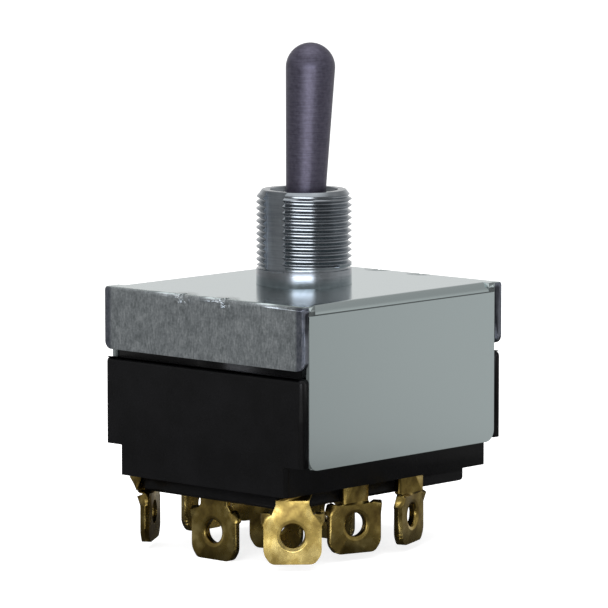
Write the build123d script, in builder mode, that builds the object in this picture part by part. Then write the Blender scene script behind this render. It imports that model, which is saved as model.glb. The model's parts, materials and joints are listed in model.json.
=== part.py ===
"""Three-pole, centre-off toggle switch with a bat lever, for a 15/32 inch panel hole.

Millimetres. X is the direction of throw, Y runs along the row of poles and Z points up out of the panel.
The origin is on the bushing's axis, in the bracket's top face, where the back of the panel comes.
"""

import os
from math import cos, radians, sin, sqrt

from build123d import *

# Clearances
fit_gap = 0.05  # pieces that are assembled and stay put
run_gap = 0.05  # pins, trunnions and plungers, on the radius
wall_gap = 0.15  # a moving piece beside a fixed one
touch_gap = 0.05  # closed contacts, and a plunger on its rocker

# Bracket, one folded steel sheet
case_x = 33.1
case_y = 37.05
sheet = 1.2
flange_drop = 7.8
flange_bend = 0.5
flange_corner = 1.0
panel_bend = 1.25
panel_corner = 1.5
corner_gap = 0.15
relief_x = 3.55
relief_width = 0.65
relief_depth = 1.1
lip_thickness = 0.35
lip_reach = 1.2
lip_inset = 0.8

# Bushing
thread_d = 11.906
collar_height = 2.0
spigot_inset = 0.3
runout_height = 0.4
runout_depth = 0.45
bushing_height = 11.83
rim_width = 0.7
rim_height = 0.9
bore_d = 8.5
pivot_bore_d = 7.6
bore_step = 7.5
bushing_flange_d = 15.5
bushing_flange = 1.0
keyway_width = 3.2
keyway_depth = 0.9

# Lever and its pin
pivot_z = 4.8
lever_throw = 12.0
rest_lean = 2.8
lever_top = 30.15
tip_r = 3.07
mouth_r = 2.5
neck_r = 2.35
tail_r = 2.0
shoulder_r = 2.7
shoulder_height = 0.8
socket_depth = 4.1
pin_r = 0.8
pin_seat = 0.75

# Insulating liner
liner = 0.5

# Carrier, the moulded bar that holds the plungers
boss_drop = 1.8
boss_height = 1.0
boss_r = 3.2
carrier_height = 4.0
carrier_half_x = 3.2
carrier_roof = 2.0
carrier_end_gap = 0.38
sleeve_r = 2.3
edge_round = 0.4

# Plungers and their springs
plunger_r = 1.65
plunger_length = 4.4
plunger_show = 2.4
spring_wire_r = 0.2
spring_turns = 5

# Rockers
rocker_height = 1.9
rocker_tilt = 7.0
rocker_width = 4.0
rocker_thickness = 0.8
dish_half = 5.0
wing_past_contact = 1.5
wing_corner = 0.8
trunnion_end = 0.2

# Contacts
contact_inset = 3.58
moving_r = 1.2
moving_height = 0.5
moving_dome = 6.0
fixed_r = 1.6
fixed_height = 0.7
fixed_chamfer = 0.15

# Base
ledge_z = -8.8
wide_bottom = -19.63
shelf_bottom = -23.4
foot_bottom = -25.4
shelf_gap = 0.1
foot_inset_x = 1.7
foot_inset_y = 1.925
foot_rim = 1.3
base_wall = 1.1
side_wall = 1.3
barrier = 1.6
barrier_gap = 1.5
floor_thickness = 4.0
pad_margin = 0.8
base_round = 0.5
foot_round = 0.8

# Terminals, stamped from brass strip
strip = 1.1
lug_width = 7.05
neck_width = 4.05
lug_hole_r = 1.5
lug_hole_up = 3.5
lug_corner_x = 0.87
lug_corner_z = 1.2
side_height = 4.7
ear_height = 1.3
ear_inset = 1.0
ear_bend = 32.0
neck_start = 7.3
twist_height = 0.6
end_lug_drop = 8.4
centre_lug_drop = 7.4
strip_stand = 0.08
cheek = 0.8
cheek_half_x = 1.8
cheek_above = 0.5
foot_past_strip = 1.1

# How each lug was left after fitting: the angle of its outer face, from -Y towards +X, and its shift in X and Y
side_sign = {"left": -1, "centre": 0, "right": 1}
lug_turn = {"left": (-57.6, -90.0, -109.0), "centre": (0.0, 14.0, 0.0), "right": (45.0, 72.0, 109.0)}
lug_shift = {
    "left": ((0.58, 0.45), (0.23, 0.27), (0.0, 0.0)),
    "centre": ((-0.4, -0.4), (0.0, 0.0), (0.0, 0.0)),
    "right": ((-0.08, -0.9), (0.0, 0.0), (0.0, 0.0)),
}
corner_lug = ("right", 0)  # turned high up, beside the foot's corner, where the others are turned below the foot

# Widths that follow from the bracket, outside to inside
panel_inner = case_x / 2 - sheet
flange_inner = case_y / 2 - sheet
panel_half = flange_inner - corner_gap
corner_half_x = case_x / 2 - fit_gap
top_half_x = panel_inner - fit_gap
top_half_y = flange_inner - fit_gap
recess_half_y = panel_half + fit_gap
cavity_half_x = top_half_x - side_wall
upper_half_y = top_half_y - base_wall
lower_half_y = case_y / 2 - base_wall
shelf_half_x = panel_inner - lip_reach - shelf_gap
foot_half_x = shelf_half_x - foot_inset_x
foot_half_y = case_y / 2 - foot_inset_y
slot_x = foot_half_x + strip_stand + strip / 2
contact_x = slot_x - contact_inset
pad_x = contact_x - fixed_r - pad_margin

cheek_inner = rocker_width / 2 + wall_gap
cheek_outer = cheek_inner + cheek
wing_end = contact_x + wing_past_contact
spigot_r = thread_d / 2 - spigot_inset
runout_r = thread_d / 2 - runout_depth

# The four places for poles, of which the first three are fitted
pole_pitch = (upper_half_y - carrier_end_gap - sleeve_r) / 1.5
lug_pitch = (foot_half_y - foot_rim) / 1.5
pole_y = [(n - 1.5) * pole_pitch for n in range(4)]
lug_y = [(n - 1.5) * lug_pitch for n in range(4)]
fitted = range(3)

# Heights that follow from the base's floor, upwards
panel_drop = lip_thickness + fit_gap - wide_bottom
floor_z = shelf_bottom + floor_thickness
rocker_z = floor_z + strip + rocker_height
cheek_height = rocker_z + cheek_above - floor_z
trunnion_r = rocker_thickness / 2
rocker_top = rocker_z + rocker_thickness / 2
plunger_bottom = rocker_top + touch_gap
plunger_top = plunger_bottom + plunger_length
sleeve_bottom = plunger_bottom + plunger_show

centre_tip = foot_bottom - centre_lug_drop
end_tip = shelf_bottom - end_lug_drop

# Heights that follow from the plate, downwards
plate_under = -sheet
rim_z = plate_under - liner
bushing_under = plate_under - bushing_flange
boss_top = bushing_under - boss_drop
tail_end = boss_top - socket_depth
carrier_top = boss_top - boss_height
carrier_bottom = carrier_top - carrier_height
bore_top = carrier_top - carrier_roof
barrier_top = carrier_bottom - barrier_gap

# Path of a plunger's round end in its rocker's own frame, and the dish that follows it
throw = radians(lever_throw)
tilt = radians(rocker_tilt)
tip_rest = plunger_bottom + plunger_r - rocker_z
swing = pivot_z - rocker_z - tip_rest
tip_z = tip_rest + swing * (1 - cos(throw))
path_x = swing * sin(throw) * cos(tilt) - tip_z * sin(tilt)
path_rise = swing * sin(throw) * sin(tilt) + tip_z * cos(tilt) - tip_rest
dish_r = (path_x**2 + path_rise**2) / (2 * path_rise) + plunger_r + touch_gap
dish_centre = rocker_top + dish_r
wing_top = dish_centre - sqrt(dish_r**2 - dish_half**2)
wing_under = wing_top - rocker_thickness
under_r = dish_r + rocker_thickness
under_half = sqrt(under_r**2 - (dish_centre - wing_under) ** 2)
dome_edge = wing_under - moving_height + moving_dome - sqrt(moving_dome**2 - moving_r**2)

# Height of the fixed contacts, which a fully tilted rocker just reaches, and of the pads under them
moving_bottom = wing_under - moving_height
dome_above = moving_bottom + moving_dome - rocker_z
fixed_top = rocker_z + dome_above * cos(tilt) - contact_x * sin(tilt) - moving_dome - touch_gap
pad_z = fixed_top - fixed_height - strip


def terminal_place(side, pole):
    """Where a terminal's strip passes through the base and where its lug hangs, each as X, Y and turn."""
    sign = side_sign[side]
    shift_x, shift_y = lug_shift[side][pole]
    lug_x = sign * slot_x + shift_x
    lug_place_y = lug_y[pole] + shift_y
    slot = (sign * slot_x, lug_y[pole], sign * 90.0) if sign else (lug_x, lug_place_y, 0.0)
    return slot, (lug_x, lug_place_y, lug_turn[side][pole])


# Bracket: a top plate, two short flanges, and two long panels whose swaged lips hold the base
with BuildPart() as bracket:
    with BuildSketch(Plane.XY.offset(plate_under)):
        Rectangle(case_x - 2 * panel_bend, case_y - 2 * sheet)
    extrude(amount=sheet)
    for fold_plane, half_length, out, bend, drop in (
        (Plane.YZ, case_x / 2, case_y / 2, flange_bend, flange_drop),
        (Plane.XZ, panel_half, case_x / 2, panel_bend, panel_drop),
    ):
        with BuildSketch(fold_plane.offset(-half_length)) as fold:
            with Locations((out, 0)):
                Rectangle(2 * sheet, sheet, align=Align.MAX)
                Rectangle(sheet, drop, align=Align.MAX)
            fillet(fold.vertices().group_by(Axis.X)[-1].sort_by(Axis.Y)[-1], bend)
            mirror(about=Plane.YZ)
        extrude(amount=2 * half_length)
    fillet(bracket.edges().filter_by(Axis.X).group_by(Axis.Z)[0], panel_corner)
    flange_foot = bracket.edges().filter_by(Axis.Y).filter_by_position(
        Axis.Z, -flange_drop - fit_gap, -flange_drop + fit_gap
    )
    fillet(flange_foot, flange_corner)
    with BuildSketch(Plane.XY.offset(-panel_drop)) as lip:
        with Locations((panel_inner - lip_reach, 0)):
            Rectangle(lip_reach + sheet / 2, 2 * (panel_half - lip_inset), align=(Align.MIN, Align.CENTER))
        mirror(about=Plane.YZ)
    extrude(amount=lip_thickness)
    with BuildSketch():
        with Locations([(a * relief_x, b * case_y / 2) for a in (-1, 1) for b in (-1, 1)]):
            Rectangle(relief_width, 2 * relief_depth)
    extrude(amount=-relief_depth, mode=Mode.SUBTRACT)
    with BuildSketch():
        Circle(thread_d / 2 + fit_gap)
    extrude(amount=-sheet, mode=Mode.SUBTRACT)
bracket.part.label = "bracket"

# Bushing: turned, with a flange and a spigot under the plain collar, a runout between collar and thread, a keyway
# and two slots that the lever's pin drops into
pin_half = pivot_bore_d / 2 + pin_seat
with BuildPart() as bushing:
    with BuildSketch(Plane.XZ):
        with BuildLine():
            Polyline(
                (pivot_bore_d / 2, bushing_under),
                (bushing_flange_d / 2, bushing_under),
                (bushing_flange_d / 2, plate_under),
                (spigot_r, plate_under),
                (spigot_r, 0),
                (thread_d / 2, 0),
                (thread_d / 2, collar_height),
                (runout_r, collar_height),
                (runout_r, collar_height + runout_height),
                (thread_d / 2, collar_height + runout_height),
                (thread_d / 2, bushing_height - rim_height),
                (thread_d / 2 - rim_width, bushing_height),
                (bore_d / 2, bushing_height),
                (bore_d / 2, bore_step),
                (pivot_bore_d / 2, bore_step),
                close=True,
            )
        make_face()
    revolve(axis=Axis.Z)
    with BuildSketch(Plane.XY.offset(collar_height)):
        with Locations((0, -thread_d / 2)):
            Rectangle(keyway_width, 2 * keyway_depth)
    extrude(amount=bushing_height - collar_height, mode=Mode.SUBTRACT)
    with BuildSketch(Plane.XZ.offset(-pin_half - fit_gap)):
        with Locations((0, pivot_z)):
            Circle(pin_r + fit_gap)
            Rectangle(2 * (pin_r + fit_gap), pivot_z - bushing_under, align=(Align.CENTER, Align.MAX))
    extrude(amount=2 * (pin_half + fit_gap), mode=Mode.SUBTRACT)
bushing.part.label = "bushing"

# Lever pin, across the bushing along the row of poles
with BuildPart() as lever_pin:
    with BuildSketch(Plane.XZ.offset(-pin_half)):
        with Locations((0, pivot_z)):
            Circle(pin_r)
    extrude(amount=2 * pin_half)
    chamfer(lever_pin.edges().filter_by(GeomType.CIRCLE), pin_r / 4)
lever_pin.part.label = "lever_pin"

# Lever: a bat with a round end, a ball at its pivot, and a tail with a shoulder for the carrier
ball_r = pivot_bore_d / 2 - wall_gap
tip_centre = lever_top - tip_r
ball_neck = (neck_r, pivot_z + sqrt(ball_r**2 - neck_r**2))
ball_tail = (tail_r, pivot_z - sqrt(ball_r**2 - tail_r**2))
with BuildPart() as lever:
    with BuildSketch(Plane.XZ):
        with BuildLine():
            Polyline(
                (0, lever_top),
                (0, tail_end),
                (tail_r - edge_round, tail_end),
                (tail_r, tail_end + edge_round),
                (tail_r, boss_top),
                (shoulder_r, boss_top),
                (shoulder_r, boss_top + shoulder_height),
                (tail_r, boss_top + shoulder_height),
                ball_tail,
            )
            ThreePointArc(ball_tail, (ball_r, pivot_z), ball_neck)
            Polyline(ball_neck, (mouth_r, bushing_height), (tip_r, tip_centre))
            RadiusArc((tip_r, tip_centre), (0, lever_top), -tip_r)
        make_face()
    revolve(axis=Axis.Z)
    with BuildSketch(Plane.XZ.offset(-ball_r)):
        with Locations((0, pivot_z)):
            Circle(pin_r + run_gap)
    extrude(amount=2 * ball_r, mode=Mode.SUBTRACT)
lever.part.label = "lever"

# Insulating liner, a fibre sheet between the bracket's plate and the base
with BuildPart() as insulator:
    with BuildSketch(Plane.XY.offset(rim_z)):
        Rectangle(2 * top_half_x, 2 * top_half_y)
        Circle(bushing_flange_d / 2 + wall_gap, mode=Mode.SUBTRACT)
    extrude(amount=liner)
insulator.part.label = "insulator"

# Carrier: a bar along the poles with a socket for the lever's tail and four sleeves for plungers
with BuildPart() as carrier:
    with BuildSketch(Plane.XY.offset(carrier_bottom)):
        RectangleRounded(2 * carrier_half_x, 2 * (pole_y[-1] + sleeve_r), sleeve_r)
    extrude(amount=carrier_height)
    fillet(carrier.faces().sort_by(Axis.Z)[-1].edges(), edge_round)
    with BuildSketch(Plane.XY.offset(carrier_bottom)):
        Circle(boss_r)
    extrude(amount=boss_top - carrier_bottom)
    with BuildSketch(Plane.XY.offset(sleeve_bottom)):
        with Locations([(0, y) for y in pole_y]):
            Circle(sleeve_r)
    extrude(amount=carrier_bottom - sleeve_bottom)
    with BuildSketch(Plane.XY.offset(sleeve_bottom)):
        with Locations([(0, y) for y in pole_y]):
            Circle(plunger_r + run_gap)
    extrude(amount=bore_top - sleeve_bottom, mode=Mode.SUBTRACT)
    with BuildSketch(Plane.XY.offset(tail_end - fit_gap)):
        Circle(tail_r + fit_gap)
    extrude(amount=socket_depth + fit_gap, mode=Mode.SUBTRACT)
carrier.part.label = "carrier"

# Base: a stepped moulding with a cavity for each pole, pads under the end contacts and slots for the terminals
with BuildPart() as base:
    with BuildSketch(Plane.XY.offset(ledge_z)):
        Rectangle(2 * top_half_x, 2 * top_half_y)
    extrude(amount=rim_z - ledge_z)
    with BuildSketch(Plane.XY.offset(wide_bottom)) as wide_outline:
        RectangleRounded(2 * corner_half_x, case_y, base_round)
        with Locations((top_half_x, 0)):
            Rectangle(case_x, 2 * recess_half_y, align=(Align.MIN, Align.CENTER), mode=Mode.SUBTRACT)
        with Locations((-top_half_x, 0)):
            Rectangle(case_x, 2 * recess_half_y, align=(Align.MAX, Align.CENTER), mode=Mode.SUBTRACT)
    extrude(amount=ledge_z - wide_bottom)
    with BuildSketch(Plane.XY.offset(shelf_bottom)):
        RectangleRounded(2 * shelf_half_x, case_y, base_round)
    extrude(amount=wide_bottom - shelf_bottom)
    with BuildSketch(Plane.XY.offset(foot_bottom)):
        RectangleRounded(2 * foot_half_x, 2 * foot_half_y, foot_round)
    extrude(amount=shelf_bottom - foot_bottom)
    fillet(base.faces().sort_by(Axis.Z)[0].edges(), base_round)

    with BuildSketch(Plane.XY.offset(barrier_top)):
        Rectangle(2 * cavity_half_x, 2 * upper_half_y)
    extrude(amount=rim_z - barrier_top, mode=Mode.SUBTRACT)
    barrier_y = [-lower_half_y, -pole_pitch, 0, pole_pitch, lower_half_y]
    barrier_half = [0, barrier / 2, barrier / 2, barrier / 2, 0]
    for height, half_x in ((pad_z, cavity_half_x), (floor_z, pad_x)):
        with BuildSketch(Plane.XY.offset(height)):
            for n in range(4):
                low_y = barrier_y[n] + barrier_half[n]
                high_y = barrier_y[n + 1] - barrier_half[n + 1]
                with Locations((0, (low_y + high_y) / 2)):
                    Rectangle(2 * half_x, high_y - low_y)
        extrude(amount=barrier_top - height, mode=Mode.SUBTRACT)
    for side in side_sign:
        for pole in fitted:
            slot, lug_at = terminal_place(side, pole)
            cuts = [(slot, fit_gap, pad_z)]
            if (side, pole) == corner_lug:
                cuts.append((lug_at, wall_gap, shelf_bottom))
            for (x, y, turn), gap, top in cuts:
                with BuildSketch(Plane((x, y, foot_bottom))):
                    Rectangle(neck_width + 2 * gap, strip + 2 * gap, rotation=turn)
                extrude(amount=top - foot_bottom, mode=Mode.SUBTRACT)
base.part.label = "base"

# Lug, the same on every terminal: tip at Z 0, outer face towards -Y, its upper corners bent outwards
lug_height = side_height + ear_height
shoulder_half = lug_width / 2 - ear_inset
neck_foot = (lug_hole_up + lug_hole_r + lug_height) / 2
ear_low = Vector(lug_width / 2, -strip / 2, side_height)
ear_high = Vector(shoulder_half, -strip / 2, lug_height)
ear_line = (ear_high - ear_low).normalized()
ear_length = (ear_high - ear_low).length
flat_way = Vector(ear_line.Z, 0, -ear_line.X)
bent_normal = Vector(0, -1, 0) * cos(radians(ear_bend)) - flat_way * sin(radians(ear_bend))
ear_corner = Vector(0, 0, ear_height)
with BuildPart() as lug:
    with BuildSketch(Plane.XZ.offset(-strip / 2)):
        with BuildLine():
            Polyline(
                (0, 0),
                (lug_width / 2 - lug_corner_x, 0),
                (lug_width / 2, lug_corner_z),
                (lug_width / 2, side_height),
                (shoulder_half, lug_height),
                (0, lug_height),
                close=True,
            )
        make_face()
    extrude(amount=strip)
    with BuildSketch(Plane(origin=ear_low, x_dir=ear_line, z_dir=flat_way)):
        Rectangle(ear_length, strip, align=(Align.MIN, Align.MAX))
    revolve(axis=Axis(ear_low, -ear_line), revolution_arc=ear_bend)
    with BuildSketch(Plane(origin=ear_low, x_dir=ear_line, z_dir=bent_normal)):
        with BuildLine():
            corner = (ear_corner.dot(ear_line), -ear_corner.dot(flat_way))
            Polyline((0, 0), (ear_length, 0), corner, close=True)
        make_face()
    extrude(amount=-strip)
    mirror(about=Plane.YZ)
    with BuildSketch(Plane.XZ.offset(-strip / 2)):
        with Locations((0, lug_hole_up)):
            Circle(lug_hole_r)
    extrude(amount=strip, mode=Mode.SUBTRACT)


def make_terminal(side, pole):
    """A foot inside the base, a strip through its floor, a short twist where the lug was turned, and the lug."""
    end = side_sign[side]
    slot, lug_at = terminal_place(side, pole)
    tip = end_tip if end else centre_tip
    foot_z = pad_z if end else floor_z
    if end:
        x_edges = (end * (contact_x - fixed_r), end * (slot_x + strip / 2))
        strip_half_y, foot_half_width = neck_width / 2, rocker_width / 2
    else:
        x_edges = (-neck_width / 2 - foot_past_strip, neck_width / 2 + foot_past_strip)
        strip_half_y, foot_half_width = strip / 2, cheek_outer
    y_edges = (
        min(slot[1] - strip_half_y, pole_y[pole] - foot_half_width),
        max(slot[1] + strip_half_y, pole_y[pole] + foot_half_width),
    )
    twist_top = shelf_bottom if (side, pole) == corner_lug else foot_bottom - fit_gap
    twist_bottom = max(twist_top - twist_height, tip + lug_height)
    neck_end = twist_bottom - tip
    with BuildPart() as neck:
        with BuildSketch(Plane.XZ.offset(-strip / 2)):
            with BuildLine():
                narrow = [(neck_width / 2, height) for height in sorted({min(neck_start, neck_end), neck_end})]
                Polyline(
                    (0, neck_foot),
                    (shoulder_half, neck_foot),
                    (shoulder_half, lug_height),
                    *narrow,
                    (0, neck_end),
                    close=True,
                )
            make_face()
        extrude(amount=strip)
        mirror(about=Plane.YZ)
    with BuildPart() as terminal:
        for (x, y, turn), height in ((lug_at, twist_bottom), (slot, twist_top)):
            with BuildSketch(Plane((x, y, height))):
                Rectangle(neck_width, strip, rotation=turn)
        loft()
        with BuildSketch(Plane((slot[0], slot[1], twist_top))):
            Rectangle(neck_width, strip, rotation=slot[2])
        extrude(amount=foot_z - twist_top)
        with BuildSketch(Plane.XY.offset(foot_z)):
            with Locations((sum(x_edges) / 2, sum(y_edges) / 2)):
                Rectangle(abs(x_edges[1] - x_edges[0]), y_edges[1] - y_edges[0])
        extrude(amount=strip)
        if not end:
            for cheek_y in (pole_y[pole] + cheek_outer, pole_y[pole] - cheek_inner):
                with BuildSketch(Plane.XZ.offset(-cheek_y)):
                    with Locations((0, floor_z)):
                        Rectangle(2 * cheek_half_x, cheek_height, align=(Align.CENTER, Align.MIN))
                    with Locations((0, rocker_z)):
                        Circle(trunnion_r + run_gap, mode=Mode.SUBTRACT)
                        Rectangle(
                            2 * (trunnion_r + run_gap),
                            2 * cheek_above,
                            align=(Align.CENTER, Align.MIN),
                            mode=Mode.SUBTRACT,
                        )
                extrude(amount=cheek)
        with Locations(Location((lug_at[0], lug_at[1], tip), (0, 0, lug_at[2]))):
            add(neck.part)
            add(lug.part)
    terminal.part.label = f"terminal_{pole + 1}_{side}"
    return terminal


lever_line = Axis((0, 0, pivot_z), (0, 1, 0))
rest_turn = {"lever": (lever_line, rest_lean), "carrier": (lever_line, rest_lean)}
pieces = [bracket, bushing, lever_pin, lever, insulator, carrier, base]
pieces += [make_terminal(side, pole) for pole in fitted for side in side_sign]

# For each fitted pole: the rocker on its trunnions, its two moving contacts, the plunger and its spring
for pole in fitted:
    y = pole_y[pole]
    with BuildPart() as rocker:
        with BuildSketch(Plane.XZ.offset(-y - rocker_width / 2)) as rocker_edge:
            with BuildLine():
                Line((-wing_end, wing_top), (-dish_half, wing_top))
                ThreePointArc((-dish_half, wing_top), (0, rocker_top), (dish_half, wing_top))
                Polyline(
                    (dish_half, wing_top), (wing_end, wing_top), (wing_end, wing_under), (under_half, wing_under)
                )
                ThreePointArc(
                    (under_half, wing_under), (0, rocker_top - rocker_thickness), (-under_half, wing_under)
                )
                Polyline((-under_half, wing_under), (-wing_end, wing_under), (-wing_end, wing_top))
            make_face()
        extrude(amount=rocker_width)
        fillet(rocker.edges().filter_by(Axis.Z), wing_corner)
        with BuildSketch(Plane.XZ.offset(-y - cheek_outer - trunnion_end)):
            with Locations((0, rocker_z)):
                Circle(trunnion_r)
        extrude(amount=2 * (cheek_outer + trunnion_end))
    rocker.part.label = f"rocker_{pole + 1}"

    with BuildPart() as moving_contacts:
        for x in (-contact_x, contact_x):
            with BuildSketch(Plane((x, y, 0), x_dir=(1, 0, 0), z_dir=(0, -1, 0))):
                with BuildLine():
                    Polyline((0, moving_bottom), (0, wing_under), (moving_r, wing_under), (moving_r, dome_edge))
                    RadiusArc((moving_r, dome_edge), (0, moving_bottom), moving_dome)
                make_face()
            revolve(axis=Axis((x, y, 0), (0, 0, 1)))
    moving_contacts.part.label = f"moving_contacts_{pole + 1}"

    with BuildPart() as plunger:
        with BuildSketch(Plane((0, y, 0), x_dir=(1, 0, 0), z_dir=(0, -1, 0))):
            with BuildLine():
                Polyline(
                    (0, plunger_bottom),
                    (0, plunger_top),
                    (plunger_r - edge_round, plunger_top),
                    (plunger_r, plunger_top - edge_round),
                    (plunger_r, plunger_bottom + plunger_r),
                )
                RadiusArc((plunger_r, plunger_bottom + plunger_r), (0, plunger_bottom), plunger_r)
            make_face()
        revolve(axis=Axis((0, y, 0), (0, 0, 1)))
    plunger.part.label = f"plunger_{pole + 1}"

    with BuildPart() as spring:
        with BuildLine() as coil:
            coil_height = bore_top - plunger_top - 2 * (spring_wire_r + fit_gap)
            Helix(
                pitch=coil_height / spring_turns,
                height=coil_height,
                radius=plunger_r - wall_gap - spring_wire_r,
                center=(0, y, plunger_top + spring_wire_r + fit_gap),
            )
        with BuildSketch(Plane(origin=coil.line @ 0, z_dir=coil.line % 0)):
            Circle(spring_wire_r)
        sweep(is_frenet=True)
    spring.part.label = f"spring_{pole + 1}"
    rocker_line = Axis((0, y, rocker_z), (0, 1, 0))
    for piece in (plunger, spring):
        rest_turn[piece.part.label] = (lever_line, rest_lean)
    for piece in (rocker, moving_contacts):
        rest_turn[piece.part.label] = (rocker_line, -rest_lean * rocker_tilt / lever_throw)
    pieces += [rocker, moving_contacts, plunger, spring]

# Fixed contacts: a silver button on the foot of each end terminal
for side in ("left", "right"):
    for pole in fitted:
        with BuildPart() as fixed_contact:
            with BuildSketch(Plane((side_sign[side] * contact_x, pole_y[pole], pad_z + strip))):
                Circle(fixed_r)
            extrude(amount=fixed_height)
            chamfer(fixed_contact.edges().group_by(Axis.Z)[-1], fixed_chamfer)
        fixed_contact.part.label = f"contact_{pole + 1}_{side}"
        pieces.append(fixed_contact)

# Everything is drawn with the lever upright. At rest it leans a little towards +X, and the rockers the other way
os.makedirs("parts", exist_ok=True)
for piece in pieces:
    label = piece.part.label
    line, angle = rest_turn.get(label, (lever_line, 0))
    resting = piece.part.rotate(line, angle)
    resting.label = label
    export_step(resting, f"parts/{label}.step")
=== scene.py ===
"""Looks of a three-pole, centre-off toggle switch with a bat lever, in metres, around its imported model."""

import json
import math

import bmesh
import bpy
from mathutils import Matrix, Vector


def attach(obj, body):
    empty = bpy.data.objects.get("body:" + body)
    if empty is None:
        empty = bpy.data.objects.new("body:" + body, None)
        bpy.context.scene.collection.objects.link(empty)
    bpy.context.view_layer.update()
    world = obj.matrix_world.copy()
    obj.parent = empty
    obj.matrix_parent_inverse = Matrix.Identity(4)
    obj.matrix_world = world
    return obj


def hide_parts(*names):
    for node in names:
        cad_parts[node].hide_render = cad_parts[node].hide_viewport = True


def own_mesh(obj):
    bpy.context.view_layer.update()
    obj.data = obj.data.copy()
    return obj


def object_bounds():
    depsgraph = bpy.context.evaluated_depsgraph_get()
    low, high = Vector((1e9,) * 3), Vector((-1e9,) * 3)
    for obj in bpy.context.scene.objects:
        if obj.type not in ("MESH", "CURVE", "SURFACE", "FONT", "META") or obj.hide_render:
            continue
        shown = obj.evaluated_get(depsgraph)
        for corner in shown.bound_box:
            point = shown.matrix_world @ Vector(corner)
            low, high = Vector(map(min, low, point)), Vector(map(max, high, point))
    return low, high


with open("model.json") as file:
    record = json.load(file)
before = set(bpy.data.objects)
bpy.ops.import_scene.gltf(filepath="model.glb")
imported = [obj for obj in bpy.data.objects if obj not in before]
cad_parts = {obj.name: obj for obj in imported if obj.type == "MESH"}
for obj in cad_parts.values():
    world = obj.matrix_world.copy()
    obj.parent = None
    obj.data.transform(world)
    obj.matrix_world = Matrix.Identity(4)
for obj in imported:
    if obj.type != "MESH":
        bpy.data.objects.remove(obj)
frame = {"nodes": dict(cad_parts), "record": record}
model_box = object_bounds()

# The camera: a long lens a little above the plate, turned towards the corner of the case between two faces,
# as in the photograph.
PICTURE = 608
SENSOR_WIDTH = 36
FOCAL_PIXELS = 4893.9
CAMERA_TURN = math.radians(-47.6)
CAMERA_RISE = math.radians(6.70)
CAMERA_DISTANCE = 0.6098
AIM = Vector((0, 0, -0.00257))

camera_data = bpy.data.cameras.new("camera")
camera_data.sensor_width = SENSOR_WIDTH
camera_data.lens = FOCAL_PIXELS / PICTURE * SENSOR_WIDTH
camera = bpy.data.objects.new("camera", camera_data)
bpy.context.scene.collection.objects.link(camera)
camera.location = CAMERA_DISTANCE * Vector((
    math.cos(CAMERA_RISE) * math.cos(CAMERA_TURN),
    math.cos(CAMERA_RISE) * math.sin(CAMERA_TURN),
    math.sin(CAMERA_RISE),
))
camera.rotation_euler = (AIM - camera.location).to_track_quat("-Z", "Y").to_euler()
bpy.context.scene.camera = camera
bpy.context.scene.view_settings.view_transform = "Standard"


# The studio: a white sheet under and behind the switch, a tall soft light in front and darker walls to the
# sides, which is what the plated metal shows. Diffuse surfaces get soft lamps at a plain level.
def add_node(tree, kind, inputs=None, **settings):
    """A node of a kind, with its settings made and each input given a value or linked to a socket."""
    made = tree.nodes.new(kind)
    for name, value in settings.items():
        setattr(made, name, value)
    for key, value in (inputs or {}).items():
        if isinstance(value, bpy.types.NodeSocket):
            tree.links.new(value, made.inputs[key])
        else:
            made.inputs[key].default_value = value
    return made


def maths(tree, operation, *values):
    """The result of an operation on numbers or sockets, as a socket."""
    return add_node(tree, "ShaderNodeMath", dict(enumerate(values)), operation=operation).outputs[0]


def fade(tree, value, start, end, **settings):
    """A socket that goes from 0 to 1 as a value goes from start to end."""
    return add_node(
        tree, "ShaderNodeMapRange", {"Value": value, "From Min": start, "From Max": end}, **settings
    ).outputs[0]


def blend_value(tree, factor, low, high):
    """A socket between two numbers or sockets, by a factor socket."""
    made = add_node(tree, "ShaderNodeMix", {0: factor}, data_type="FLOAT")
    for socket, value in ((made.inputs[2], low), (made.inputs[3], high)):
        if isinstance(value, bpy.types.NodeSocket):
            tree.links.new(value, socket)
        else:
            socket.default_value = value
    return made.outputs[0]


def blend_colour(tree, factor, first, second, blend_type="MIX"):
    """A socket between two colours or sockets, by a factor."""
    return add_node(
        tree, "ShaderNodeMix", {0: factor, 6: first, 7: second}, data_type="RGBA", blend_type=blend_type
    ).outputs[2]


def grey(level):
    """An even grey, as a colour."""
    return (level, level, level, 1)


def ramp(tree, factor, stops):
    """A colour ramp's colour socket, from (place, colour) stops."""
    made = add_node(tree, "ShaderNodeValToRGB", {0: factor})
    while len(made.color_ramp.elements) < len(stops):
        made.color_ramp.elements.new(0.5)
    for element, (place, colour) in zip(made.color_ramp.elements, stops):
        element.position = place
        element.color = colour
    return made.outputs["Color"]


# Brightness of the walls by direction, in degrees from straight behind the switch, clockwise from above
WALLS = (
    (-180, 4.2), (-156, 4.2), (-148, 0.28), (-95, 0.20), (-50, 0.40), (-25, 0.76), (25, 0.76), (50, 0.60),
    (85, 0.50), (120, 0.32), (154, 0.24), (162, 4.2), (180, 4.2),
)
WALL_SCALE = 5.0


def wall_light(tree, direction):
    """The walls' brightness in a horizontal direction, as a socket."""
    turned = add_node(
        tree, "ShaderNodeVectorRotate", {"Vector": direction, "Angle": -CAMERA_TURN - math.pi},
        rotation_type="Z_AXIS",
    )
    parts = add_node(tree, "ShaderNodeSeparateXYZ", {0: turned.outputs[0]}).outputs
    angle = maths(tree, "ARCTAN2", parts["Y"], parts["X"])
    stops = [((degrees + 180) / 360, grey(level / WALL_SCALE)) for degrees, level in WALLS]
    level = ramp(tree, fade(tree, angle, math.pi, -math.pi), stops)
    return maths(tree, "MULTIPLY", level, WALL_SCALE)


SKY_LIGHT, ZENITH_LIGHT = 0.37, 1.2
AMBIENT = 0.55
PAPER_WHITE = 1.0
STRIP_CAP = 0.8
STRIP_COLOUR = (0.92, 0.97, 1.10, 1)
COOL_FROM, COOL_TO = 1.0, 3.0

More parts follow.
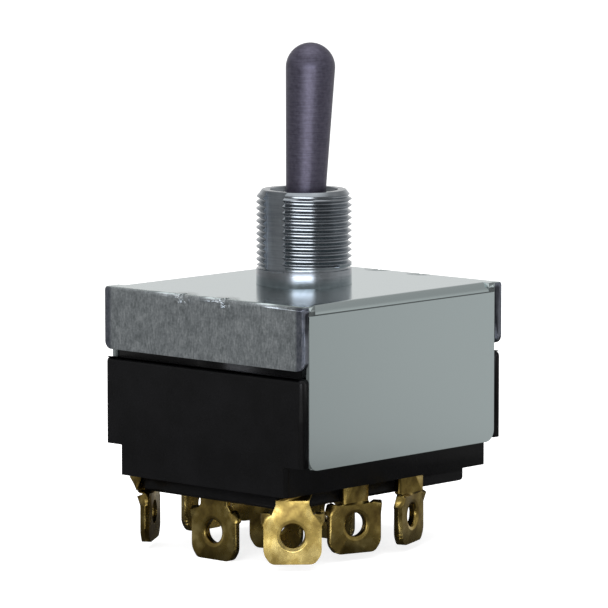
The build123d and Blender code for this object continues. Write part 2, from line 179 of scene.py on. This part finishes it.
# Heights, as sines, over which the walls turn into sky and the sky into the light overhead, and down over
# which the front light loses its cap
HEIGHTS = ((0.15, 0.5), (0.75, 0.97), (0.22, 0.12))

world = bpy.data.worlds.new("studio")
world.use_nodes = True
bpy.context.scene.world = world
tree = world.node_tree
tree.nodes.clear()
direction = add_node(tree, "ShaderNodeTexCoord").outputs["Generated"]
height = add_node(tree, "ShaderNodeSeparateXYZ", {0: direction}).outputs["Z"]
above, overhead, low_down = [
    fade(tree, height, start, end, interpolation_type="SMOOTHSTEP") for start, end in HEIGHTS
]
sky = blend_value(tree, overhead, SKY_LIGHT, ZENITH_LIGHT)
cap = blend_value(tree, low_down, STRIP_CAP, WALL_SCALE)
strip = maths(tree, "MINIMUM", wall_light(tree, direction), cap)
mirrored = blend_value(tree, above, strip, sky)
path = add_node(tree, "ShaderNodeLightPath").outputs
level = blend_value(tree, path["Is Glossy Ray"], AMBIENT, mirrored)
seen = maths(tree, "MAXIMUM", path["Is Camera Ray"], path["Is Transmission Ray"])
level = blend_value(tree, seen, level, PAPER_WHITE)
cool = blend_colour(tree, fade(tree, level, COOL_FROM, COOL_TO), grey(1), STRIP_COLOUR)
background = add_node(tree, "ShaderNodeBackground", {"Color": cool, "Strength": level})
add_node(tree, "ShaderNodeOutputWorld", {0: background.outputs[0]})

# The sheet's levels in the metal, and the distances from the switch between which one gives way to the next
FLOOR_HALF = 3.0
FLOOR_COLOUR = grey(0.55)
FLOOR_GLOW = 0.80
# UNDER_LIGHT, inside UNDER_EDGE, is a painted shadow: the sheet the metal mirrors goes dark under the switch
# in place of the shade beneath the base
UNDER_LIGHT, NEAR_LIGHT, NEAR_SHARE = 0.04, 0.14, 0.15
UNDER_EDGE, OPEN_EDGE = 0.014, 0.036
NEAR_EDGE, FAR_EDGE = 0.07, 0.1
STRIP_EDGE, STRIP_FULL = 0.20, 0.27

floor_z = model_box[0][2]
corners = [(x * FLOOR_HALF, y * FLOOR_HALF, floor_z) for x, y in ((-1, -1), (1, -1), (1, 1), (-1, 1))]
floor_mesh = bpy.data.meshes.new("floor")
floor_mesh.from_pydata(corners, [], [(0, 1, 2, 3)])
floor = bpy.data.objects.new("floor", floor_mesh)
bpy.context.scene.collection.objects.link(floor)
paper = bpy.data.materials.new("paper")
paper.use_nodes = True
tree = paper.node_tree
tree.nodes.clear()
place = add_node(tree, "ShaderNodeTexCoord").outputs["Object"]
flat_place = add_node(
    tree, "ShaderNodeVectorMath", {0: place, 1: (1, 1, 0)}, operation="MULTIPLY"
).outputs[0]
reach = add_node(tree, "ShaderNodeVectorMath", {0: flat_place}, operation="LENGTH").outputs["Value"]
close, away, far_out = [
    fade(tree, reach, start, end, interpolation_type="SMOOTHSTEP")
    for start, end in ((UNDER_EDGE, OPEN_EDGE), (NEAR_EDGE, FAR_EDGE), (STRIP_EDGE, STRIP_FULL))
]
wall = wall_light(tree, flat_place)
near = maths(tree, "MULTIPLY_ADD", wall, NEAR_SHARE, NEAR_LIGHT)
wall = maths(tree, "MINIMUM", wall, blend_value(tree, far_out, STRIP_CAP, WALL_SCALE))
# Close to the switch the mirrored sheet falls to the painted shadow level
mirrored = blend_value(tree, away, blend_value(tree, close, UNDER_LIGHT, near), wall)
path = add_node(tree, "ShaderNodeLightPath").outputs
matt = add_node(tree, "ShaderNodeBsdfDiffuse", {"Color": FLOOR_COLOUR})
glow_level = blend_value(tree, path["Is Camera Ray"], 0.0, FLOOR_GLOW)
glow = add_node(tree, "ShaderNodeEmission", {"Color": grey(1), "Strength": glow_level})
lit = add_node(tree, "ShaderNodeAddShader", {0: matt.outputs[0], 1: glow.outputs[0]})
shown = add_node(tree, "ShaderNodeEmission", {"Color": grey(1), "Strength": mirrored})
surface = add_node(
    tree, "ShaderNodeMixShader", {0: path["Is Glossy Ray"], 1: lit.outputs[0], 2: shown.outputs[0]}
)
add_node(tree, "ShaderNodeOutputMaterial", {0: surface.outputs[0]})
floor_mesh.materials.append(paper)

# Each lamp's name, place, size and power
LAMPS = (
    ("lamp_above", (0.05, -0.10, 0.55), 0.45, 4.2),
    ("lamp_front", (0.30, -0.55, 0.30), 0.35, 2.4),
)
for name, spot, size, power in LAMPS:
    lamp_data = bpy.data.lights.new(name, "AREA")
    lamp_data.size = size
    lamp_data.energy = power
    lamp = bpy.data.objects.new(name, lamp_data)
    bpy.context.scene.collection.objects.link(lamp)
    lamp.location = spot
    lamp.rotation_euler = (-lamp.location).to_track_quat("-Z", "Y").to_euler()
    lamp.visible_glossy = False


# The bracket: sheet steel, folded and zinc plated. Its two long sides run down and hook under the base, and
# its two short ones stop half way. Cut edges are a little rounded, the plating is mottled and has a fine
# grain, the short sides carry painted shade towards their ends, and the four relief cuts have burrs.
SAME_PLACE = 1e-6
NEARLY_FLAT = math.radians(0.5)
SHARP = math.radians(32)


def joined_mesh(mesh, name):
    """A copy of a model's mesh with its triangles joined and its flat faces made whole."""
    shape = bmesh.new()
    shape.from_mesh(mesh)
    bmesh.ops.remove_doubles(shape, verts=shape.verts, dist=SAME_PLACE)
    bmesh.ops.dissolve_limit(
        shape, angle_limit=NEARLY_FLAT, verts=shape.verts, edges=shape.edges, use_dissolve_boundaries=False
    )
    shape.verts.ensure_lookup_table()
    places = [vert.co.copy() for vert in shape.verts]
    faces = [[vert.index for vert in face.verts] for face in shape.faces]
    shape.free()
    copy = bpy.data.meshes.new(name)
    copy.from_pydata(places, [], faces)
    return copy


def add_object(mesh, name):
    """A new object in the scene, with the given mesh."""
    made = bpy.data.objects.new(name, mesh)
    bpy.context.scene.collection.objects.link(made)
    return made


def model_copy(node, name):
    """A new object with its own joined copy of a node's mesh."""
    return add_object(joined_mesh(frame["nodes"][node].data, node), name)


def make_plain(piece):
    """Works the piece's modifiers into its mesh, and shades it smooth."""
    result = bpy.data.meshes.new_from_object(piece.evaluated_get(bpy.context.evaluated_depsgraph_get()))
    piece.modifiers.clear()
    piece.data = result
    result.shade_smooth()


def round_edges(piece, width, segments=3, chosen=None):
    """Rounds the piece's sharp edges, or the chosen ones of them, and keeps its flats flat."""
    shape = bmesh.new()
    shape.from_mesh(piece.data)
    weight = shape.edges.layers.float.new("bevel_weight_edge")
    for edge in shape.edges:
        is_sharp = len(edge.link_faces) == 2 and edge.calc_face_angle(0) > SHARP
        if is_sharp and (chosen is None or chosen(edge)):
            edge[weight] = 1
    shape.to_mesh(piece.data)
    shape.free()
    bevel = piece.modifiers.new("edges", "BEVEL")
    bevel.width = width
    bevel.segments = segments
    bevel.limit_method = "WEIGHT"
    bevel.use_clamp_overlap = chosen is None
    bevel.miter_outer = "MITER_ARC"
    make_plain(piece)
    piece.modifiers.new("flats", "WEIGHTED_NORMAL").keep_sharp = True


def dress(piece, material, slot, body, *nodes):
    """Gives a finished piece its material and its place in the model."""
    piece.data.materials.clear()
    piece.data.materials.append(material)
    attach(piece, body)
    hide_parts(*nodes)


def surface_material(name, colour, metallic, roughness):
    """A material with a plain surface shader, its node tree, its shader and its object coordinates."""
    made = bpy.data.materials.new(name)
    made.use_nodes = True
    tree = made.node_tree
    shader = tree.nodes["Principled BSDF"]
    shader.inputs["Base Color"].default_value = (*colour, 1)
    shader.inputs["Metallic"].default_value = metallic
    shader.inputs["Roughness"].default_value = roughness
    return made, tree, shader, add_node(tree, "ShaderNodeTexCoord").outputs["Object"]


def noise(tree, place, per_mm, detail=3.0, stretch=(1, 1, 1), rough=0.55):
    """Noise with so many features to a millimetre, as a socket."""
    spread = add_node(
        tree, "ShaderNodeMapping", {"Vector": place, "Scale": [1000 * per_mm * s for s in stretch]}
    ).outputs[0]
    return add_node(
        tree, "ShaderNodeTexNoise", {"Vector": spread, "Scale": 1.0, "Detail": detail, "Roughness": rough}
    ).outputs[0]


def mean_of(tree, *sockets):
    """The mean of some sockets, as a socket."""
    total = sockets[0]
    for socket in sockets[1:]:
        total = maths(tree, "ADD", total, socket)
    return maths(tree, "MULTIPLY", total, 1 / len(sockets))


def spread_value(tree, factor, low, high, start=0.3, stop=0.7):
    """Maps noise between two places to two numbers."""
    return add_node(
        tree, "ShaderNodeMapRange",
        {"Value": factor, "From Min": start, "From Max": stop, "To Min": low, "To Max": high},
    ).outputs[0]


def raise_surface(tree, shader, height, strength, distance):
    """Adds a relief to a shader, in metres at full strength."""
    bump = add_node(tree, "ShaderNodeBump", {"Height": height, "Strength": strength, "Distance": distance})
    before = shader.inputs["Normal"]
    if before.is_linked:
        tree.links.new(before.links[0].from_socket, bump.inputs["Normal"])
    tree.links.new(bump.outputs[0], before)


BRACKET_EDGE = 0.00012
BEND_EDGE = 0.0003
BEND_LINE = 0.018525
ON_LINE = 1e-5
FLANGE_INNER, FLANGE_TOP = 0.01725, -0.0001
END_STARTS, END_FULL = 0.0154, 0.0158
# Painted shade: the colour that darkens the short sides towards their ends
END_SHADE = (0.42, 0.42, 0.48, 1)
PANEL_COLOUR = (0.60, 0.685, 0.685, 1)
PANEL_ROUGHNESS, PANEL_GRAIN = 0.16, 0.5
RELIEF_CUT = (0.00355, 0.0183, 0)
BURR_REACH = 0.0022
zinc, tree, shader, place = surface_material("zinc_plating", (0.62, 0.65, 0.63), metallic=1.0, roughness=0.2)
along = add_node(tree, "ShaderNodeSeparateXYZ", {0: place}).outputs
beyond = maths(tree, "GREATER_THAN", maths(tree, "ABSOLUTE", along["Y"]), FLANGE_INNER)
short_side = maths(tree, "MULTIPLY", beyond, maths(tree, "LESS_THAN", along["Z"], FLANGE_TOP))
blotches = noise(tree, place, per_mm=0.9, detail=4)
grain = noise(tree, place, per_mm=4.2, detail=2, stretch=(1, 1, 0.3))
speckle = noise(tree, place, per_mm=3.4, detail=4)
mottle = mean_of(tree, blotches, grain, speckle)
mottle_and_painted_shade = ramp(tree, mottle, (
    (0.38, (0.38, 0.42, 0.44, 1)), (0.5, (0.58, 0.63, 0.655, 1)), (0.62, (0.82, 0.87, 0.89, 1))
))
# Painted shade towards the ends of the short sides, multiplied into the mottled plating
painted_end_shade_mask = fade(tree, maths(tree, "ABSOLUTE", along["X"]), END_STARTS, END_FULL)
painted_end_shade = blend_colour(tree, painted_end_shade_mask, grey(1), END_SHADE)
mottle_and_painted_shade = blend_colour(tree, 1.0, mottle_and_painted_shade, painted_end_shade, blend_type="MULTIPLY")
tree.links.new(blend_colour(tree, short_side, PANEL_COLOUR, mottle_and_painted_shade), shader.inputs["Base Color"])
dull = spread_value(tree, mottle, low=0.30, high=0.42, start=0.4, stop=0.6)
tree.links.new(blend_value(tree, short_side, PANEL_ROUGHNESS, dull), shader.inputs["Roughness"])
fine = blend_value(tree, short_side, PANEL_GRAIN, grain)
raise_surface(tree, shader, fine, strength=0.35, distance=0.00002)
raise_surface(tree, shader, noise(tree, place, per_mm=0.35, detail=1), strength=0.1, distance=0.00006)
quarter = add_node(tree, "ShaderNodeVectorMath", {0: place}, operation="ABSOLUTE").outputs[0]
to_cut = add_node(
    tree, "ShaderNodeVectorMath", {0: quarter, 1: RELIEF_CUT}, operation="DISTANCE"
).outputs["Value"]
near_cut = fade(tree, to_cut, BURR_REACH, BURR_REACH / 3)
burr = maths(tree, "MULTIPLY", near_cut, noise(tree, place, per_mm=1.6, detail=2))
raise_surface(tree, shader, burr, strength=0.8, distance=0.0006)


def on_bend(edge):
    """Whether an edge is the outer one of the fold between the top and a short side."""
    return all(
        abs(vert.co.z) < ON_LINE and abs(abs(vert.co.y) - BEND_LINE) < ON_LINE for vert in edge.verts
    )


bracket = model_copy("bracket", "folded_bracket")
round_edges(bracket, BEND_EDGE, segments=4, chosen=on_bend)
round_edges(bracket, BRACKET_EDGE)
dress(bracket, zinc, "zinc_plate", "housing", "bracket")


# The bushing: turned steel with a 32-to-the-inch thread, cut from the collar up through the chamfered rim,
# and a keyway milled down its front. It is plated darker than the bracket.
PITCH = 0.0254 / 32
CREST_RADIUS = 0.005953
GROOVE_DEPTH = 0.00043
GROOVE_OVER = 0.00004
GROOVE_MOUTH = 0.00078
GROOVE_ROOT = 0.00014
THREAD_START = 0.00242
THREAD_TURNS = 12.5
STEPS_A_TURN = 128
BUSHING_EDGE = 0.00009
CREASE = math.radians(28)
KEYWAY_HALF, KEYWAY_FRONT, KEYWAY_FOOT = 0.00164, -0.00495, 0.0019
KEYWAY_ROUGHNESS = 0.5

cutter = bpy.data.node_groups.new("thread_cutter", "GeometryNodeTree")
cutter.interface.new_socket("Geometry", in_out="INPUT", socket_type="NodeSocketGeometry")
for name, value in (
    ("Pitch", PITCH), ("Turns", THREAD_TURNS), ("Start", THREAD_START), ("Radius", CREST_RADIUS),
    ("Depth", GROOVE_DEPTH), ("Mouth", GROOVE_MOUTH), ("Root", GROOVE_ROOT),
):
    cutter.interface.new_socket(name, in_out="INPUT", socket_type="NodeSocketFloat").default_value = value
steps = cutter.interface.new_socket("Steps", in_out="INPUT", socket_type="NodeSocketInt")
steps.default_value = STEPS_A_TURN
cutter.interface.new_socket("Metal", in_out="INPUT", socket_type="NodeSocketMaterial")
cutter.interface.new_socket("Geometry", in_out="OUTPUT", socket_type="NodeSocketGeometry")
given = cutter.nodes.new("NodeGroupInput").outputs
cut_height = maths(cutter, "ADD", given["Depth"], GROOVE_OVER)
root_radius = maths(cutter, "SUBTRACT", given["Radius"], given["Depth"])
path_radius = maths(cutter, "ADD", root_radius, maths(cutter, "MULTIPLY", cut_height, 0.5))
spiral = add_node(cutter, "GeometryNodeCurveSpiral", {
    "Resolution": given["Steps"], "Rotations": given["Turns"], "Start Radius": path_radius,
    "End Radius": path_radius, "Height": maths(cutter, "MULTIPLY", given["Turns"], given["Pitch"]),
})
lift = add_node(cutter, "ShaderNodeCombineXYZ", {"Z": given["Start"]})
raised = add_node(
    cutter, "GeometryNodeTransform", {"Geometry": spiral.outputs[0], "Translation": lift.outputs[0]}
)
upright = add_node(cutter, "GeometryNodeSetCurveNormal", {"Curve": raised.outputs[0]}, mode="Z_UP")
groove = add_node(
    cutter, "GeometryNodeCurvePrimitiveQuadrilateral",
    {"Height": cut_height, "Bottom Width": given["Mouth"], "Top Width": given["Root"], "Offset": 0.0},
    mode="TRAPEZOID",
)
turned = add_node(
    cutter, "GeometryNodeTransform", {"Geometry": groove.outputs[0], "Rotation": (0, 0, -math.pi / 2)}
)
sweep = add_node(
    cutter, "GeometryNodeCurveToMesh",
    {"Curve": upright.outputs[0], "Profile Curve": turned.outputs[0], "Fill Caps": True},
)
cut = add_node(
    cutter, "GeometryNodeMeshBoolean", {"Mesh 1": given["Geometry"]}, operation="DIFFERENCE", solver="EXACT"
)
cutter.links.new(sweep.outputs[0], cut.inputs["Mesh 2"])
whole = add_node(cutter, "GeometryNodeRealizeInstances", {0: cut.outputs["Mesh"]})
coated = add_node(
    cutter, "GeometryNodeSetMaterial", {"Geometry": whole.outputs[0], "Material": given["Metal"]}
)
add_node(cutter, "NodeGroupOutput", {0: coated.outputs[0]})

steel, tree, shader, place = surface_material(
    "turned_steel", (0.30, 0.32, 0.35), metallic=1.0, roughness=0.2
)
rings = noise(tree, place, per_mm=2.0, detail=3, stretch=(0.15, 0.15, 4))
smears = noise(tree, place, per_mm=0.5, detail=3, stretch=(1, 1, 0.5))
tone = mean_of(tree, rings, smears)
plated = ramp(tree, tone, ((0.38, (0.27, 0.295, 0.32, 1)), (0.62, (0.39, 0.42, 0.45, 1))))
tree.links.new(plated, shader.inputs["Base Color"])
across = add_node(tree, "ShaderNodeSeparateXYZ", {0: place}).outputs
in_keyway = maths(tree, "LESS_THAN", maths(tree, "ABSOLUTE", across["X"]), KEYWAY_HALF)
in_keyway = maths(tree, "MULTIPLY", in_keyway, maths(tree, "LESS_THAN", across["Y"], KEYWAY_FRONT))
in_keyway = maths(tree, "MULTIPLY", in_keyway, maths(tree, "GREATER_THAN", across["Z"], KEYWAY_FOOT))
dull = blend_value(tree, in_keyway, spread_value(tree, smears, low=0.13, high=0.26), KEYWAY_ROUGHNESS)
tree.links.new(dull, shader.inputs["Roughness"])
raise_surface(tree, shader, rings, strength=0.25, distance=0.00002)

bushing = model_copy("bushing", "threaded_bushing")
round_edges(bushing, BUSHING_EDGE, segments=2)
bushing.modifiers.clear()
thread = bushing.modifiers.new("thread", "NODES")
thread.node_group = cutter
for item in cutter.interface.items_tree:
    if item.name == "Metal":
        thread[item.identifier] = steel
make_plain(bushing)
bushing.data.set_sharp_from_angle(angle=CREASE)
dress(bushing, steel, "bushing_steel", "housing", "bushing")


# The lever and its pin: a bat turned from rod with a ball and a tail, satin plated in a plum grey, on a hard
# steel pin through its ball. Turning has left fine rings round the bat.
LEVER_EDGE = 0.0001
plum, tree, shader, place = surface_material(
    "plum_plating", (0.085, 0.077, 0.11), metallic=0.75, roughness=0.42
)
turning = noise(tree, place, per_mm=1.0, detail=3, stretch=(0.5, 0.5, 6))
cloud = noise(tree, place, per_mm=2.2, detail=4)
tint = mean_of(tree, turning, cloud)
shade = ramp(tree, tint, ((0.38, (0.074, 0.068, 0.097, 1)), (0.62, (0.116, 0.109, 0.152, 1))))
tree.links.new(shade, shader.inputs["Base Color"])
tree.links.new(spread_value(tree, tint, low=0.37, high=0.47), shader.inputs["Roughness"])
raise_surface(tree, shader, turning, strength=0.15, distance=0.00002)
raise_surface(tree, shader, cloud, strength=0.2, distance=0.00002)

lever = model_copy("lever", "bat_lever")
round_edges(lever, LEVER_EDGE, segments=2)
dress(lever, plum, "lever_metal", "lever", "lever")

hard_steel, tree, shader, place = surface_material(
    "hard_steel", (0.45, 0.46, 0.48), metallic=1.0, roughness=0.25
)
drawn = noise(tree, place, per_mm=2.5, detail=3, stretch=(1, 0.2, 1))
tree.links.new(ramp(tree, drawn, ((0.35, grey(0.36)), (0.65, grey(0.52)))), shader.inputs["Base Color"])
tree.links.new(spread_value(tree, drawn, low=0.2, high=0.32), shader.inputs["Roughness"])


def recoat(material, *nodes):
    """Gives nodes of the model their material."""
    for name in nodes:
        mesh = frame["nodes"][name].data
        mesh.materials.clear()
        mesh.materials.append(material)


recoat(hard_steel, "lever_pin")


# The base: one stepped moulding in black phenolic, with a low gloss and moulded edges. Under the plate lies
# an insulator of red fibre.
BASE_EDGE = 0.00018
LEDGE_EDGE = 0.00055
LEDGE_HEIGHT = -0.0088
LEDGE_X, LEDGE_Y = 0.0158, 0.0178
phenolic, tree, shader, place = surface_material(
    "black_phenolic", (0.0035, 0.0035, 0.004), metallic=0.0, roughness=0.32
)
shader.inputs["Specular IOR Level"].default_value = 0.24
flow = noise(tree, place, per_mm=0.25, detail=4)
pores = noise(tree, place, per_mm=5.0, detail=3)
black = ramp(tree, flow, ((0.35, (0.003, 0.003, 0.0034, 1)), (0.65, (0.0045, 0.0045, 0.0052, 1))))
tree.links.new(black, shader.inputs["Base Color"])
tree.links.new(spread_value(tree, pores, low=0.27, high=0.38), shader.inputs["Roughness"])
raise_surface(tree, shader, pores, strength=0.2, distance=0.00002)


def on_ledge(edge):
    """Whether an edge is the outer one round the ledge under the bracket's short sides."""
    return all(
        abs(vert.co.z - LEDGE_HEIGHT) < ON_LINE and (abs(vert.co.y) > LEDGE_Y or abs(vert.co.x) > LEDGE_X)
        for vert in edge.verts
    )


base = model_copy("base", "moulded_base")
round_edges(base, LEDGE_EDGE, segments=4, chosen=on_ledge)
round_edges(base, BASE_EDGE, segments=2)
dress(base, phenolic, "phenolic", "housing", "base")

fibre, tree, shader, place = surface_material("red_fibre", (0.20, 0.13, 0.09), metallic=0.0, roughness=0.7)
threads = noise(tree, place, per_mm=1.5, detail=5, stretch=(0.4, 2, 1))
red = ramp(tree, threads, ((0.35, (0.15, 0.09, 0.06, 1)), (0.65, (0.26, 0.17, 0.12, 1))))
tree.links.new(red, shader.inputs["Base Color"])
raise_surface(tree, shader, threads, strength=0.4, distance=0.00003)
recoat(fibre, "insulator")


# The terminals: stamped from brass strip, with a shallow dish coined round each wire hole and two ears bent
# outwards, and turned after fitting. The brass is bright in places and tarnished olive brown in others.
LUG_EDGE = 0.00024
LUG_CORNER = 0.0005
LUG_SIDE = 0.0047
DISH_RADIUS = 0.0020
DISH_DEPTH = 0.00032
PUNCH_SEGMENTS, PUNCH_RINGS = 64, 96
BRASS_THICKNESS = 0.0011
THROUGH = 0.99

brass, tree, shader, place = surface_material("lug_brass", (0.66, 0.50, 0.23), metallic=1.0, roughness=0.3)
tarnish = noise(tree, place, per_mm=0.25, detail=2)
stains = noise(tree, place, per_mm=0.9, detail=3, rough=0.5)
rolling = noise(tree, place, per_mm=2.0, detail=2, stretch=(1, 1, 0.12))
age = mean_of(tree, tarnish, stains)
aged = ramp(tree, age, (
    (0.34, (0.22, 0.148, 0.042, 1)), (0.5, (0.45, 0.325, 0.092, 1)), (0.66, (0.82, 0.64, 0.24, 1))
))
tree.links.new(aged, shader.inputs["Base Color"])
tree.links.new(spread_value(tree, age, low=0.34, high=0.2, start=0.38, stop=0.6), shader.inputs["Roughness"])
raise_surface(tree, shader, rolling, strength=0.25, distance=0.00002)
raise_surface(tree, shader, noise(tree, place, per_mm=0.16, detail=1), strength=1.0, distance=0.0009)

for mount in frame["record"]["mounts"]:
    if not mount["name"].startswith("wire_hole"):
        continue
    node = mount["name"].replace("wire_hole", "terminal")
    outwards = Vector(mount["axis"]).normalized()
    lug = model_copy(node, mount["name"].replace("wire_hole", "lug"))
    punch = bmesh.new()
    punch_radius = (DISH_RADIUS**2 + DISH_DEPTH**2) / (2 * DISH_DEPTH)
    stand = Vector(mount["pos_m"]) + outwards * (BRASS_THICKNESS / 2 - DISH_DEPTH + punch_radius)
    turn = outwards.to_track_quat("Z", "Y").to_matrix().to_4x4()
    bmesh.ops.create_uvsphere(
        punch, u_segments=PUNCH_SEGMENTS, v_segments=PUNCH_RINGS, radius=punch_radius,
        matrix=Matrix.Translation(stand) @ turn,
    )
    punch_mesh = bpy.data.meshes.new("punch")
    punch.to_mesh(punch_mesh)
    punch.free()
    tool = add_object(punch_mesh, "punch")
    coin = lug.modifiers.new("coin", "BOOLEAN")
    coin.object = tool
    coin.operation = "DIFFERENCE"
    coin.solver = "EXACT"
    make_plain(lug)
    bpy.data.objects.remove(tool)
    shoulders = min(vert.co.z for vert in lug.data.vertices) + LUG_SIDE

    def below_shoulders(edge, limit=shoulders - ON_LINE):
        """Whether an edge lies on the flat of the lug, below its shoulders."""
        return max(vert.co.z for vert in edge.verts) < limit

    def on_corner(edge, outwards=outwards):
        """Whether an edge runs through the sheet at a corner of the lug's outline."""
        run = edge.verts[1].co - edge.verts[0].co
        is_through = abs(run.normalized().dot(outwards)) > THROUGH and run.length > BRASS_THICKNESS / 2
        return is_through and below_shoulders(edge)

    round_edges(lug, LUG_CORNER, segments=4, chosen=on_corner)
    round_edges(lug, LUG_EDGE, segments=4, chosen=below_shoulders)
    dress(lug, brass, "brass", "housing", node)


# The works inside: moulded nylon carrier and plungers, springs of hard wire, brass rockers and silver
# contacts.
POLES = (1, 2, 3)
nylon, tree, shader, place = surface_material("nylon", (0.75, 0.73, 0.66), metallic=0.0, roughness=0.45)
milky = noise(tree, place, per_mm=0.8, detail=3)
cream = ramp(tree, milky, ((0.3, (0.68, 0.66, 0.58, 1)), (0.7, (0.80, 0.78, 0.71, 1))))
tree.links.new(cream, shader.inputs["Base Color"])
raise_surface(tree, shader, milky, strength=0.1, distance=0.00003)

silver, tree, shader, place = surface_material(
    "contact_silver", (0.85, 0.84, 0.80), metallic=1.0, roughness=0.2
)
matted = noise(tree, place, per_mm=2.5, detail=3)
tree.links.new(spread_value(tree, matted, low=0.14, high=0.3), shader.inputs["Roughness"])
tree.links.new(ramp(tree, matted, ((0.35, grey(0.72)), (0.65, grey(0.88)))), shader.inputs["Base Color"])

for pole in POLES:
    coil = model_copy(f"spring_{pole}", f"coil_spring_{pole}")
    dress(coil, hard_steel, "spring_steel", "lever", f"spring_{pole}")
    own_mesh(coil)

recoat(nylon, "carrier", *[f"plunger_{pole}" for pole in POLES])
recoat(brass, *[f"rocker_{pole}" for pole in POLES])
recoat(silver, *[f"moving_contacts_{pole}" for pole in POLES])
recoat(silver, *[f"contact_{pole}_{side}" for pole in POLES for side in ("left", "right")])
